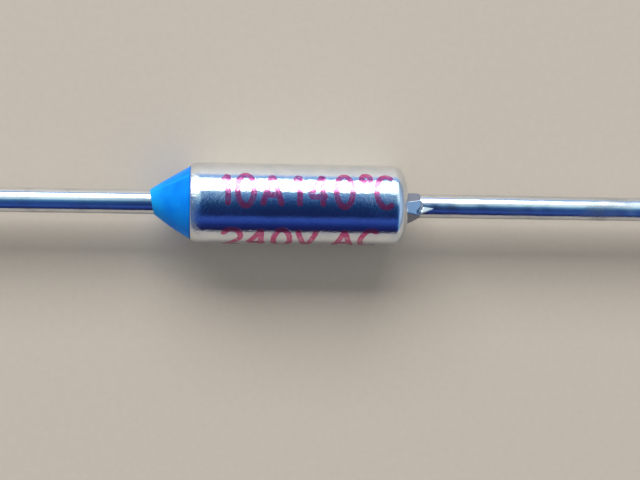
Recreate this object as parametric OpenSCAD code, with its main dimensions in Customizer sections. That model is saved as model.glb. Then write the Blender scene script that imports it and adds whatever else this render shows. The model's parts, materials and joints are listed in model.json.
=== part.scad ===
// Thermal fuse: a sealed pellet-type thermal cutoff with two axial wire leads.
// Millimetres. The case lies along X, with the case lead to +X and the isolated lead to -X.
// The origin is on the axis, midway along the case.

/* [Case] */
// Outer diameter of the case
case_d = 4; // [3.8:0.05:5]
// Length of the case, from its rolled mouth to its closed end
case_len = 10.6; // [10.2:0.1:15]
// Thickness of the case wall
case_wall = 0.3; // [0.2:0.05:0.35]
// Thickness of the closed end
base_t = 0.5; // [0.4:0.05:0.8]
// Outer corner radius of the closed end
corner_r = 0.6; // [0.5:0.05:0.9]
// Radius that the mouth is rolled in to, on its outer side
mouth_r = 1.5; // [1.4:0.05:2]
// Length of the stretch of wall that is rolled in
mouth_len = 0.55; // [0.5:0.05:0.85]

/* [Leads] */
// Diameter of the wire of both leads
lead_d = 1.2; // [1:0.05:1.3]
// Reach of the case lead past the closed end
case_lead_reach = 26.95; // [10:0.05:60]
// Reach of the isolated lead past the mouth
isolated_lead_reach = 26.95; // [10:0.05:60]
// Chamfer of the cut tips
tip_chamfer = 0.1; // [0.02:0.01:0.2]
// Overhang of the isolated lead's contact head round its wire
head_over = 0.25; // [0.15:0.05:0.3]
// Thickness of the contact head
head_t = 0.4; // [0.3:0.05:0.8]
// How much thicker, on the radius, heading leaves the isolated lead inside the bushing
head_swell = 0.02; // [0.01:0.01:0.04]

/* [Staked neck of the case lead] */
// Width across the two fins where the neck meets the case
fin_w = 2.14; // [1.6:0.02:2.3]
// Thickness of the fins
fin_t = 0.26; // [0.15:0.01:0.4]
// Length of the pinched neck
neck_len = 0.8; // [0.5:0.05:1.1]
// Distance between the neck's two pressed flats
neck_t = 0.9; // [0.84:0.02:0.96]
// Width of each pressed flat
flat_w = 0.78; // [0.6:0.02:0.8]
// Slope of the neck's sides, away from upright
neck_draft = 30; // [10:1:40]
// Slope on which each flat runs out into the round wire
runout_slope = 18; // [12:1:45]
// Turn of the flats about the wire
neck_roll = 11; // [-90:1:90]
// Diameter of the tenon through the closed end
tenon_d = 0.8; // [0.6:0.05:0.8]
// Diameter of the rivet head that is upset flush inside the closed end
rivet_d = 1.3; // [1:0.05:1.6]
// Depth of the rivet head
rivet_t = 0.25; // [0.15:0.05:0.3]

/* [Seal] */
// Length of the seal's cone past the mouth
seal_len = 2.05; // [1.2:0.05:4]
// Width of the bare rim left round the seal
seal_margin = 0.02; // [0.01:0.01:0.2]
// Thickness of the seal round the wire at its tip
seal_film = 0.04; // [0.02:0.01:0.15]
// Bulge of the cone's side
seal_bulge = 0.04; // [0.02:0.01:0.15]
// Slant of the tip, in the plan view
seal_slant = 6; // [0:1:15]

/* [Bushing] */
// Depth of the bushing's outer face inside the mouth
bushing_inset = 0.4; // [0.3:0.05:0.6]
// Length of the bushing's body
bushing_len = 2.4; // [1.5:0.1:3.2]
// Length of the nose that guides the trip spring
nose_len = 1.3; // [1.1:0.1:2]
// Thickness of the nose round the wire
nose_wall = 0.3; // [0.25:0.05:0.4]

/* [Contact] */
// Thickness of the star contact's sheet
contact_t = 0.12; // [0.08:0.01:0.2]
// Number of petals of the star contact
petals = 12; // [6:1:16]
// Length of the petals along the case
petal_len = 0.9; // [0.6:0.05:1.2]
// Gap between neighbouring petals
petal_gap = 0.22; // [0.1:0.01:0.3]
// Outer radius of the bend at the foot of each petal
petal_bend_r = 0.35; // [0.25:0.05:0.4]
// How far the gaps reach into the flat of the star contact
petal_cut = 0.1; // [0:0.01:0.1]
// Thickness of the contact disc and of the pellet disc
disc_t = 0.25; // [0.15:0.05:0.5]

/* [Springs] */
// Wire diameter of the barrel spring
barrel_wire_d = 0.35; // [0.25:0.01:0.38]
// Least pitch of the barrel spring's open turns
barrel_pitch = 0.58; // [0.45:0.01:0.8]
// How much the barrel spring swells out at its middle
barrel_swell = 0.25; // [0:0.01:0.3]
// Wire diameter of the trip spring
trip_wire_d = 0.22; // [0.15:0.01:0.25]
// Least pitch of the trip spring's open turns
trip_pitch = 0.33; // [0.3:0.01:0.5]

/* [Pellet] */
// Length of the thermal pellet
pellet_len = 2.6; // [1.5:0.1:3.8]

/* [Fits] */
// Clearance on the radius of what is dropped into the case or slides in it
slide_gap = 0.05; // [0.03:0.01:0.1]
// Clearance on the radius of the isolated lead in the bushing
bore_gap = 0.03; // [0.02:0.01:0.05]
// Clearance on the radius of the star contact's petals in the case
petal_fit = 0.01; // [0.005:0.005:0.02]

/* [Hidden] */

$fn = 96;
// Steps of a full circle where only a short arc of a large one is used
arc_steps = 960;
// Overshoot of cuts that open a face
cut = 0.2;
// Rings of a coil in each turn, and corners of each ring
turn_steps = 24;
wire_corners = 10;
// Pitch of a closed end turn, as a multiple of the wire
closed_pitch = 1.05;

case_r = case_d / 2;
bore_r = case_r - case_wall;
lead_r = lead_d / 2;

// Section of the case: its ends, its inner corner and the centre of the rolled mouth
mouth_x = -case_len / 2;
end_x = case_len / 2;
base_x = end_x - base_t;
inner_corner_r = corner_r - case_wall;
roll_x = mouth_x + mouth_len;
roll_r = case_r - mouth_r;
lip_r = roll_r + sqrt(pow(mouth_r, 2) - pow(mouth_len, 2));

// Stack inside the case, from the mouth to the closed end
bushing_x = mouth_x + bushing_inset;
shoulder_x = bushing_x + bushing_len;
head_x = shoulder_x + nose_len;
contact_x = head_x + head_t;
contact_disc_x = contact_x + contact_t;
barrel_x = contact_disc_x + disc_t;
pellet_x = base_x - pellet_len;
pellet_disc_x = pellet_x - disc_t;
barrel_len = pellet_disc_x - barrel_x;
trip_len = contact_x - shoulder_x;

// Radii of the stack
loose_r = bore_r - slide_gap;
inner_wire_r = lead_r + head_swell;
bushing_bore_r = inner_wire_r + bore_gap;
nose_r = bushing_bore_r + nose_wall;
head_r = lead_r + head_over;
petal_r = bore_r - petal_fit;
contact_flat_r = petal_r - petal_bend_r;
contact_disc_r = contact_flat_r - slide_gap;
barrel_r = contact_disc_r - slide_gap - barrel_wire_d / 2;
trip_r = nose_r + slide_gap + trip_wire_d / 2;

// Seal: its ends, and the circle whose arc is the cone's side
seal_tip_x = mouth_x - seal_len;
seal_tip_r = lead_r + seal_film;
seal_base_r = lip_r - seal_margin;
seal_chord = norm([seal_base_r - seal_tip_r, seal_len]);
seal_out = [seal_len, seal_tip_r - seal_base_r] / seal_chord;
seal_arc_r = (pow(seal_chord / 2, 2) + pow(seal_bulge, 2)) / (2 * seal_bulge);
seal_mid = [(seal_base_r + seal_tip_r) / 2, (mouth_x + seal_tip_x) / 2];

// Staked neck
tenon_r = tenon_d / 2;
rivet_r = rivet_d / 2;
fin_r = fin_w / 2;
neck_x = end_x + neck_len;
flank_w = (neck_t - fin_t) / 2 * tan(neck_draft);

plated = [0.78, 0.81, 0.86];
tinned = [0.72, 0.75, 0.8];
epoxy_blue = [0.02, 0.47, 0.95];
ceramic = [0.93, 0.91, 0.86];
spring_steel = [0.56, 0.57, 0.6];
silvered = [0.88, 0.86, 0.82];
copper = [0.8, 0.52, 0.36];
pressed_powder = [0.93, 0.86, 0.62];

// Revolves a half section, drawn with the radius across and the place along the axis upward, about X
module turned() {
    rotate([0, 90, 0]) rotate_extrude() children();
}

// Half section of a capsule with the case's form: a rolled-in mouth and a rounded closed end
module capsule(radius, from_x, to_x, end_corner, mouth_roll) {
    difference() {
        translate([0, from_x]) square([radius, to_x - from_x]);
        difference() {
            translate([radius - end_corner, to_x - end_corner]) square(end_corner + cut);
            translate([radius - end_corner, to_x - end_corner]) circle(end_corner);
        }
        difference() {
            translate([roll_r, from_x - cut]) square([case_r, roll_x - from_x + cut]);
            translate([roll_r, roll_x]) circle(mouth_roll);
        }
    }
}

// Half section of the room inside the case, drawn in by a clearance on its sides
module inside(gap, from_x) {
    capsule(bore_r - gap, from_x, base_x, inner_corner_r, mouth_r - case_wall - gap);
}

// Half section of the hole for the tenon and the countersink for its rivet head
module tenon_hole() {
    flare = (rivet_r - tenon_r) / rivet_t;
    translate([0, base_x - cut]) square([tenon_r, base_t + 2 * cut]);
    polygon([
        [0, base_x - cut],
        [rivet_r + cut * flare, base_x - cut],
        [tenon_r, base_x + rivet_t],
        [0, base_x + rivet_t],
    ]);
}

module case() {
    color(plated) turned() difference() {
        capsule(case_r, mouth_x, end_x, corner_r, mouth_r);
        inside(0, mouth_x - cut);
        tenon_hole();
    }
}

// What one of the two dies that pinch the neck takes away: the space above a flat, its flanks and a fin
module die() {
    reach = fin_w;
    translate([end_x - cut, 0, 0]) rotate([90, 0, 90]) linear_extrude(neck_len + cut) polygon([
        [-reach, fin_t / 2],
        [-flat_w / 2 - flank_w, fin_t / 2],
        [-flat_w / 2, neck_t / 2],
        [flat_w / 2, neck_t / 2],
        [flat_w / 2 + flank_w, fin_t / 2],
        [reach, fin_t / 2],
        [reach, reach],
        [-reach, reach],
    ]);
    translate([neck_x, reach, neck_t / 2]) rotate([90, 0, 0]) linear_extrude(2 * reach) polygon([
        [0, 0],
        [reach / tan(runout_slope), reach],
        [0, reach],
    ]);
}

module case_lead() {
    tip_x = end_x + case_lead_reach;
    color(tinned) difference() {
        turned() polygon([
            [0, base_x],
            [rivet_r, base_x],
            [tenon_r, base_x + rivet_t],
            [tenon_r, end_x],
            [fin_r, end_x],
            [lead_r, neck_x],
            [lead_r, tip_x - tip_chamfer],
            [lead_r - tip_chamfer, tip_x],
            [0, tip_x],
        ]);
        for (side = [0, 180]) rotate([neck_roll + side, 0, 0]) die();
    }
}

module isolated_lead() {
    tip_x = mouth_x - isolated_lead_reach;
    color(tinned) turned() polygon([
        [0, contact_x],
        [head_r, contact_x],
        [head_r, head_x],
        [inner_wire_r, head_x],
        [inner_wire_r, bushing_x],
        [lead_r, seal_tip_x],
        [lead_r, tip_x + tip_chamfer],
        [lead_r - tip_chamfer, tip_x],
        [0, tip_x],
    ]);
}

// The space beyond the seal's slanted tip
module tip_slant() {
    translate([seal_tip_x, seal_tip_r, 0]) rotate([0, 0, seal_slant])
        translate([-seal_len, -case_d, -case_r]) cube([seal_len, 2 * case_d, case_d]);
}

module epoxy_seal() {
    color(epoxy_blue) difference() {
        turned() {
            intersection() {
                translate([0, seal_tip_x]) square([case_r, seal_len]);
                translate(seal_mid - seal_out * (seal_arc_r - seal_bulge)) circle(seal_arc_r, $fn = arc_steps);
            }
            intersection() {
                translate([0, mouth_x - cut]) square([case_r, bushing_inset + cut]);
                inside(0, mouth_x - cut);
            }
        }
        isolated_lead();
        tip_slant();
    }
}

module ceramic_bushing() {
    color(ceramic) turned() difference() {
        union() {
            intersection() {
                translate([0, bushing_x]) square([case_r, bushing_len]);
                inside(slide_gap, mouth_x);
            }
            translate([0, bushing_x + cut]) square([nose_r, bushing_len + nose_len - cut]);
        }
        translate([0, bushing_x - cut]) square([bushing_bore_r, bushing_len + nose_len + 2 * cut]);
    }
}

// Turns of a coil that fill a length: two closed end turns, and as many open turns as the pitch allows
function coil_turns(length, wire, pitch) =
    2 + max(1, floor((length - wire * (1 + 2 * closed_pitch)) / pitch));

// Place of the wire along the axis, some turns from the coil's start
function coil_place(turn, turns, length, wire) =
    let (closed = wire * closed_pitch, open = (length - wire - 2 * closed) / (turns - 2))
    wire / 2 + (turn < 1 ? closed * turn
        : turn > turns - 1 ? length - wire - closed * (turns - turn)
        : closed + open * (turn - 1));

// Coil of round wire along X whose ends bear on the planes at from_x and from_x + length
module coil(from_x, length, radius, swell, wire, pitch) {
    turns = coil_turns(length, wire, pitch);
    rings = ceil(turns * turn_steps);
    corners = wire_corners;
    points = [
        for (i = [0 : rings])
            let (
                turn = turns * i / rings,
                place = coil_place(turn, turns, length, wire),
                mid_r = radius + swell * sin(180 * (place - wire / 2) / (length - wire))
            )
            for (k = [0 : corners - 1])
                let (
                    r = mid_r + wire / 2 * sin(360 * k / corners),
                    x = from_x + place + wire / 2 * cos(360 * k / corners)
                )
                [x, r * cos(360 * turn), r * sin(360 * turn)]
    ];
    walls = [
        for (i = [0 : rings - 1])
            for (k = [0 : corners - 1])
                let (
                    a = i * corners + k,
                    b = i * corners + (k + 1) % corners
                )
                each [[a, b, b + corners], [a, b + corners, a + corners]]
    ];
    start_cap = [for (k = [corners - 1 : -1 : 0]) k];
    end_cap = [for (k = [0 : corners - 1]) rings * corners + k];
    polyhedron(points, concat(walls, [start_cap, end_cap]));
}

module trip_spring() {
    color(spring_steel) coil(shoulder_x, trip_len, trip_r, 0, trip_wire_d, trip_pitch);
}

module star_contact() {
    bend_x = contact_x + petal_bend_r;
    color(silvered) difference() {
        turned() {
            translate([0, contact_x]) square([contact_flat_r, contact_t]);
            intersection() {
                difference() {
                    translate([contact_flat_r, bend_x]) circle(petal_bend_r);
                    translate([contact_flat_r, bend_x]) circle(petal_bend_r - contact_t);
                }
                translate([contact_flat_r, contact_x]) square(petal_bend_r);
            }
            translate([petal_r - contact_t, bend_x]) square([contact_t, petal_len - petal_bend_r]);
        }
        for (i = [0 : petals - 1])
            rotate([360 * i / petals, 0, 0])
                translate([contact_x - cut, contact_flat_r - petal_cut, -petal_gap / 2])
                    cube([petal_len + 2 * cut, case_r, petal_gap]);
    }
}

// Round disc along X, from a plane onward
module disc(from_x, radius, length) {
    translate([from_x, 0, 0]) rotate([0, 90, 0]) cylinder(h = length, r = radius);
}

module contact_disc() {
    color(copper) disc(contact_disc_x, contact_disc_r, disc_t);
}

module barrel_spring() {
    color(spring_steel) coil(barrel_x, barrel_len, barrel_r, barrel_swell, barrel_wire_d, barrel_pitch);
}

module pellet_disc() {
    color(copper) disc(pellet_disc_x, loose_r, disc_t);
}

module thermal_pellet() {
    color(pressed_powder) turned() capsule(loose_r, pellet_x, base_x, inner_corner_r, mouth_r);
}

case();
case_lead();
isolated_lead();
epoxy_seal();
ceramic_bushing();
trip_spring();
star_contact();
contact_disc();
barrel_spring();
pellet_disc();
thermal_pellet();
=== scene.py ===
"""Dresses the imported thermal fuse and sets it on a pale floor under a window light.

The fuse lies along X: the blue seal and the isolated lead point to -X, the case lead points to +X.
Angles round the axis start at the top, +Z, and turn towards +Y.
Sizes are given in millimetres and become metres when a mesh is made.
"""
import json
import logging
import math
from abc import ABC, abstractmethod
from dataclasses import dataclass, field
from enum import Enum
from typing import Any, ClassVar, Mapping, Optional, Sequence, Union

import bpy
import numpy as np
from mathutils import Matrix, Vector
from numpy.typing import NDArray


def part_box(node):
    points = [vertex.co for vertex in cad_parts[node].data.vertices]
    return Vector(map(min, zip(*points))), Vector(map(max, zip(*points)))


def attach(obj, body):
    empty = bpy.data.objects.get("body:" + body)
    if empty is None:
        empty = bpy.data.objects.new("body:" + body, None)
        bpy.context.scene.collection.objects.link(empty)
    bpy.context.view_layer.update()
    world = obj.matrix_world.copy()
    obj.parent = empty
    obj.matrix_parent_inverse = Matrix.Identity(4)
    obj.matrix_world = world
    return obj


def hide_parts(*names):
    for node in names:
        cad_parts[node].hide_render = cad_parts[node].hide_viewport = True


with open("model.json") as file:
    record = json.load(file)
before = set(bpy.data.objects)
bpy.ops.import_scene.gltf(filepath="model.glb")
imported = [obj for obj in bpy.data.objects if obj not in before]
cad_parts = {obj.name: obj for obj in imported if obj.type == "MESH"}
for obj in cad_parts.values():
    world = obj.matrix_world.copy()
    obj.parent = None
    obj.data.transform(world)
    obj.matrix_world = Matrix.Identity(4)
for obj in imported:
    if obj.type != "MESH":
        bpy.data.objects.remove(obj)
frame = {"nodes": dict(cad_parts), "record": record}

LOG = logging.getLogger("fuse")
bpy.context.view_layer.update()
MM = 0.001
BODY = "root"

Colour = tuple[float, float, float]
Place = tuple[float, float, float]
Pair = tuple[float, float]
Stops = Sequence[tuple[float, Colour]]
Points = NDArray[np.float64]
Key = Union[int, str]
Value = Union[float, "Sock"]


# Frame

def mount_radius(name: str) -> float:
    """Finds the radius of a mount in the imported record.

    Args:
        name: The mount's name.

    Returns:
        The radius in millimetres.
    """
    mounts = {mount["name"]: mount for mount in frame["record"]["mounts"]}
    return float(mounts[name]["dims"]["r_mm"])


def node_span(node: str) -> Pair:
    """Finds how far a CAD node reaches along the axis.

    Args:
        node: The node's name.

    Returns:
        Its lowest and highest place on X in millimetres.
    """
    low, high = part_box(node)
    return low.x / MM, high.x / MM


CASE_R = mount_radius("case_barrel")
WIRE_R = mount_radius("case_lead")
MOUTH, CLOSED_END = node_span("case")
SEAL_TIP, SEAL_PLUG = node_span("epoxy_seal")


# Shader sums

class Sock:
    """A shader value that takes part in sums: each operator adds one Math node."""

    def __init__(self, tree: "Tree", link: bpy.types.NodeSocket) -> None:
        """Keeps the socket and the tree that it belongs to."""
        self.tree = tree
        self.link = link

    def _math(self, operation: str, first: Value, second: Value = 0.0) -> "Sock":
        """Adds one Math node.

        Args:
            operation: The node's operation.
            first: Its first value or link.
            second: Its second value or link.

        Returns:
            The node's result.
        """
        return self.tree.add("ShaderNodeMath", {"operation": operation}, {0: first, 1: second})

    def __add__(self, other: Value) -> "Sock":
        """Gives this value plus another."""
        return self._math("ADD", self, other)

    def __radd__(self, other: Value) -> "Sock":
        """Gives another value plus this one."""
        return self._math("ADD", other, self)

    def __sub__(self, other: Value) -> "Sock":
        """Gives this value less another."""
        return self._math("SUBTRACT", self, other)

    def __rsub__(self, other: Value) -> "Sock":
        """Gives another value less this one."""
        return self._math("SUBTRACT", other, self)

    def __mul__(self, other: Value) -> "Sock":
        """Gives this value times another."""
        return self._math("MULTIPLY", self, other)

    def __rmul__(self, other: Value) -> "Sock":
        """Gives another value times this one."""
        return self._math("MULTIPLY", other, self)

    def __abs__(self) -> "Sock":
        """Gives this value without its sign."""
        return self._math("ABSOLUTE", self)

    def angle_with(self, other: "Sock") -> "Sock":
        """Gives the angle whose tangent is this value over another."""
        return self._math("ARCTAN2", self, other)

    def step(self, start: float, end: float) -> "Sock":
        """Rises smoothly from 0 to 1.

        Args:
            start: The value where the rise starts.
            end: The value where it ends, which may be the lower of the two.

        Returns:
            The risen value.
        """
        ranges = {"Value": self, "From Min": start, "From Max": end}
        return self.tree.add("ShaderNodeMapRange", {"interpolation_type": "SMOOTHSTEP"}, ranges)


class Tree:
    """A node tree that is built by calls instead of by hand."""

    def __init__(self, tree: bpy.types.NodeTree) -> None:
        """Empties the tree."""
        self.tree = tree
        self.tree.nodes.clear()

    @staticmethod
    def _find(sockets: Any, key: Key) -> bpy.types.NodeSocket:
        """Finds a socket of a node.

        Args:
            sockets: The node's inputs or outputs.
            key: A place in the list, an identifier or a name.

        Returns:
            The socket.
        """
        if isinstance(key, int):
            return sockets[key]
        by_identifier = [socket for socket in sockets if socket.identifier == key]
        return by_identifier[0] if by_identifier else sockets[key]

    @staticmethod
    def _set_stops(ramp: bpy.types.ColorRamp, stops: Stops) -> None:
        """Gives a ramp its stops.

        Args:
            ramp: The ramp.
            stops: Places from 0 to 1 and their colours, in rising order.
        """
        while len(ramp.elements) > 1:
            ramp.elements.remove(ramp.elements[-1])
        ramp.elements[0].position = stops[0][0]
        ramp.elements[0].color = (*stops[0][1], 1.0)
        for place, colour in stops[1:]:
            ramp.elements.new(place).color = (*colour, 1.0)

    def add(
        self,
        kind: str,
        settings: Optional[Mapping[str, Any]] = None,
        sockets: Optional[Mapping[Key, Any]] = None,
        output: Key = 0,
    ) -> Sock:
        """Adds a node.

        Args:
            kind: The node's type.
            settings: Its settings, set first; "stops" are a ramp's stops.
            sockets: The values or links of its inputs.
            output: Which of its outputs is wanted.

        Returns:
            That output.
        """
        node = self.tree.nodes.new(kind)
        for name, setting in (settings or {}).items():
            if name == "stops":
                self._set_stops(node.color_ramp, setting)
            else:
                setattr(node, name, setting)
        for key, value in (sockets or {}).items():
            socket = self._find(node.inputs, key)
            if isinstance(value, Sock):
                self.tree.links.new(value.link, socket)
            elif socket.type == "RGBA":
                socket.default_value = (*value, 1.0)
            else:
                socket.default_value = value
        if not node.outputs:
            return Sock(self, node.inputs[0])
        return Sock(self, self._find(node.outputs, output))

    def place(self, stretch: Place = (1.0, 1.0, 1.0)) -> Sock:
        """Gives the place on the piece in millimetres.

        Args:
            stretch: How many times each axis is counted, so a small number draws a pattern out.

        Returns:
            The place as a vector.
        """
        coords = self.add("ShaderNodeTexCoord", output="Object")
        per_mm = tuple(part / MM for part in stretch)
        return self.add("ShaderNodeVectorMath", {"operation": "MULTIPLY"}, {0: coords, 1: per_mm})

    def axis(self, vector: Sock, name: str) -> Sock:
        """Gives one part of a vector, X, Y or Z."""
        return self.add("ShaderNodeSeparateXYZ", sockets={0: vector}, output=name)

    def noise(self, vector: Sock, scale: float, detail: float = 3.0, rough: float = 0.55) -> Sock:
        """Gives cloudy noise.

        Args:
            vector: The place in millimetres.
            scale: How many clouds there are in a millimetre.
            detail: How many finer layers lie on the clouds.
            rough: How strong each finer layer is.

        Returns:
            A value from 0 to 1.
        """
        sockets = {"Vector": vector, "Scale": scale, "Detail": detail, "Roughness": rough}
        return self.add("ShaderNodeTexNoise", sockets=sockets)

    def specks(self, vector: Sock, scale: float) -> Sock:
        """Gives the distance to scattered points.

        Args:
            vector: The place in millimetres.
            scale: How many points there are in a millimetre.

        Returns:
            The distance, 0 on a point.
        """
        return self.add("ShaderNodeTexVoronoi", sockets={"Vector": vector, "Scale": scale})

    def mix(self, factor: Value, first: Union[Colour, Sock], second: Union[Colour, Sock]) -> Sock:
        """Mixes two colours.

        Args:
            factor: 0 for the first colour, 1 for the second.
            first: A colour.
            second: A colour.

        Returns:
            The mixed colour.
        """
        sockets = {"Factor_Float": factor, "A_Color": first, "B_Color": second}
        return self.add("ShaderNodeMix", {"data_type": "RGBA"}, sockets, "Result_Color")

    def ramp(self, factor: Sock, stops: Stops) -> Sock:
        """Looks a value up in a row of colours.

        Args:
            factor: A value from 0 to 1.
            stops: Places and their colours, in rising order.

        Returns:
            The colour.
        """
        return self.add("ShaderNodeValToRGB", {"stops": stops}, {0: factor})

    def bump(self, height: Sock, depth: float) -> Sock:
        """Turns a height into a bent normal.

        Args:
            height: A value from 0 to 1.
            depth: What a height of 1 stands for, in millimetres.

        Returns:
            The normal.
        """
        sockets = {"Strength": 1.0, "Distance": depth * MM, "Height": height}
        return self.add("ShaderNodeBump", sockets=sockets)

    def surface(self, sockets: Mapping[Key, Any]) -> None:
        """Ends a material in one Principled shader with the given sockets."""
        shader = self.add("ShaderNodeBsdfPrincipled", sockets=sockets)
        self.add("ShaderNodeOutputMaterial", sockets={"Surface": shader})


# Finishes

@dataclass(frozen=True)
class Finish(ABC):
    """A finish that paints one material."""

    name: str

    def material(self) -> bpy.types.Material:
        """Makes the material.

        Returns:
            The new material.
        """
        made = bpy.data.materials.new(self.name)
        made.use_nodes = True
        self.paint(Tree(made.node_tree))
        return made

    @abstractmethod
    def paint(self, tree: Tree) -> None:
        """Fills the material's empty tree."""


@dataclass(frozen=True)
class PlatedFinish(Finish):
    """Bright silver plate: faint clouds, fine pits, and duller metal where it was rolled or drawn."""

    bright: Colour = (0.84, 0.87, 0.91)
    cloudy: Colour = (0.70, 0.76, 0.84)
    scuffed: Colour = (0.80, 0.79, 0.76)
    polish: float = 0.07
    rolled: float = 0.55
    drawn: float = 0.5

    def paint(self, tree: Tree) -> None:
        """Mixes clouds into the plate and roughens the two worked ends.

        Args:
            tree: The material's empty tree.
        """
        place = tree.place()
        along = tree.axis(place, "X")
        clouds = tree.noise(place, 1.3, 5.0, 0.6)
        grain = tree.noise(place, 9.0, 3.0, 0.65)
        drawn = tree.noise(tree.place((0.4, 9.0, 9.0)), 1.0, 4.0, 0.6)
        rolled = along.step(MOUTH + self.rolled, MOUTH + 0.5 * self.rolled)
        corner = along.step(CLOSED_END - self.drawn, CLOSED_END - 0.2 * self.drawn)
        worked = rolled + corner * 0.5
        scuffs = worked * tree.noise(place, 4.5, 6.0, 0.7).step(0.42, 0.66)
        plate = tree.mix(clouds.step(0.35, 0.75), self.bright, self.cloudy)
        colour = tree.mix(scuffs, plate, self.scuffed)
        rough = self.polish + clouds.step(0.45, 0.8) * 0.05 + worked * 0.02 + scuffs * 0.18
        height = grain * 0.8 + drawn * 0.2 + scuffs * 0.3
        tree.surface({
            "Base Color": colour,
            "Metallic": 1.0,
            "Roughness": rough,
            "Normal": tree.bump(height, 0.01),
        })


@dataclass(frozen=True)
class WireFinish(Finish):
    """Tinned wire: drawing lines, cloudy tin, dull patches and painted shade on the sides of a pressed neck.
    """

    bright: Colour = (0.80, 0.82, 0.85)
    dull: Colour = (0.56, 0.58, 0.62)
    polish: float = 0.12
    dulling: float = 0.1
    lines: float = 0.0016
    patches: float = 1.1
    pressed: float = 0.0
    # the colour of the painted shade on the pressed neck's sides
    dark_tone: Colour = (0.24, 0.25, 0.31)
    neck_len: float = 0.8
    neck_fade: Pair = (1.5, 1.1)
    flat_way: Pair = (0.98, 0.19)
    flat_slope: float = 0.2126
    side_level: Pair = (0.448, 0.425)
    side_end: Pair = (0.86, 0.78)

    def paint(self, tree: Tree) -> None:
        """Draws lines along the wire, dulls it in patches and paints shade on the pressed neck's sides.

        The sides are what lies lower than the flats. The level is |z * cosine - y * sine| of the flats' turn,
        plus the flats' slope along the axis.

        Args:
            tree: The material's empty tree.
        """
        place = tree.place()
        along, across, upward = (tree.axis(place, name) for name in "XYZ")
        neck = along.step(*(CLOSED_END + reach for reach in self.neck_fade)) * self.pressed
        cosine, sine = self.flat_way
        level = abs(upward * cosine - across * sine) + (along - CLOSED_END - self.neck_len) * self.flat_slope
        inward = along.step(*(CLOSED_END + reach for reach in self.side_end))
        # sides: where painted shade darkens the pressed neck, below the level of its flats
        sides = level.step(*self.side_level) * inward * neck
        lines = tree.noise(tree.place((0.25, 11.0, 11.0)), 1.0, 4.0, 0.6)
        clouds = tree.noise(tree.place((0.5, 1.0, 1.0)), self.patches, 5.0, 0.6)
        patches = clouds.step(0.42, 0.7) * (1.0 - neck)
        grain = tree.noise(place, 18.0, 2.0)
        tin = tree.mix(patches * 0.8 + lines * 0.2, self.bright, self.dull)
        tree.surface({
            # the pressed neck's sides get painted shade
            "Base Color": tree.mix(sides, tin, self.dark_tone),
            "Metallic": 1.0,
            "Roughness": self.polish + patches * self.dulling + lines * 0.05 + sides * 0.2,
            "Normal": tree.bump(lines + grain * 0.25, self.lines),
        })


@dataclass(frozen=True)
class EpoxyFinish(Finish):
    """Blue cast epoxy: cloudy pigment, a paler tip that is thinner epoxy plus a painted highlight, a painted
    highlight streak along the cone, painted shade along the mouth's edge, pits and a glossy skin.
    """

    pigment: Colour = (0.004, 0.285, 1.0)
    deep: Colour = (0.002, 0.215, 0.93)
    # thin: the colour of thin epoxy, also used for the painted highlight at the tip and along the cone
    thin: Colour = (0.012, 0.43, 1.0)
    # edge: the colour of the painted shade along the mouth, where the seal meets the case's lip
    edge: Colour = (0.0, 0.165, 0.65)
    # paling: how far from the tip the paler colour reaches, thinner epoxy plus a painted highlight
    paling: float = 1.1
    gloss: float = 0.3
    # the next three: where the painted highlight streak lies round the cone, how it wanders and how wide it
    # is
    streak_turn: float = 0.88
    streak_wander: float = 0.08
    streak_half: Pair = (0.075, 0.01)
    # edge_band: how far the painted shade reaches back from the mouth
    edge_band: Pair = (0.11, 0.02)

    def paint(self, tree: Tree) -> None:
        """Clouds the pigment, pales the tip as thinner epoxy plus a painted highlight, paints a highlight
        streak along the cone, paints shade along the mouth's edge and pits the skin.

        Args:
            tree: The material's empty tree.
        """
        place = tree.place()
        along, across, upward = (tree.axis(place, name) for name in "XYZ")
        clouds = tree.noise(place, 1.6, 4.0, 0.6)
        pits = 1.0 - tree.specks(place, 5.0).step(0.0, 0.16)
        waves = tree.noise(place, 2.2, 2.0)
        body = tree.mix(clouds.step(0.3, 0.75), self.pigment, self.deep)
        # paler towards the tip: thinner epoxy plus a painted highlight where the tip glows
        paled = tree.mix(along.step(SEAL_TIP + self.paling, SEAL_TIP) * 0.8, body, self.thin)
        # a painted highlight streak along the cone, where the glossy cone would mirror light
        turn = across.angle_with(upward) + waves * self.streak_wander
        painted_streak = abs(turn - self.streak_turn).step(*self.streak_half) * 0.6
        lined = tree.mix(painted_streak, paled, self.thin)
        # painted shade in a band along the mouth, where the seal meets the case's lip
        painted_edge_shade = along.step(*(MOUTH - reach for reach in self.edge_band))
        tree.surface({
            "Base Color": tree.mix(painted_edge_shade, lined, self.edge),
            "Roughness": self.gloss + clouds * 0.08 + pits * 0.1,
            "Specular IOR Level": 0.06,
            "Normal": tree.bump(waves - pits * 0.12, 0.02),
        })


@dataclass(frozen=True)
class InkFinish(Finish):
    """Thin red marking ink that lets the plate shine through where it is worn."""

    full: Colour = (0.68, 0.10, 0.28)
    thin: Colour = (0.80, 0.40, 0.62)

    def paint(self, tree: Tree) -> None:
        """Thins the ink in fine patches.

        Args:
            tree: The material's empty tree.
        """
        place = tree.place()
        patches = tree.noise(place, 3.2, 5.0, 0.65).step(0.44, 0.68)
        specks = tree.noise(place, 16.0, 2.0).step(0.5, 0.7)
        flakes = tree.noise(place, 7.0, 5.0, 0.7).step(0.56, 0.64)
        worn = patches * 0.7 + specks * 0.3
        tree.surface({
            "Base Color": tree.mix(worn, self.full, self.thin),
            "Metallic": 0.88 + worn * 0.08,
            "Roughness": 0.12 - worn * 0.03,
            "Alpha": 1.0 - flakes * 0.85,
            "Normal": tree.bump(specks, 0.0015),
        })


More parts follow.
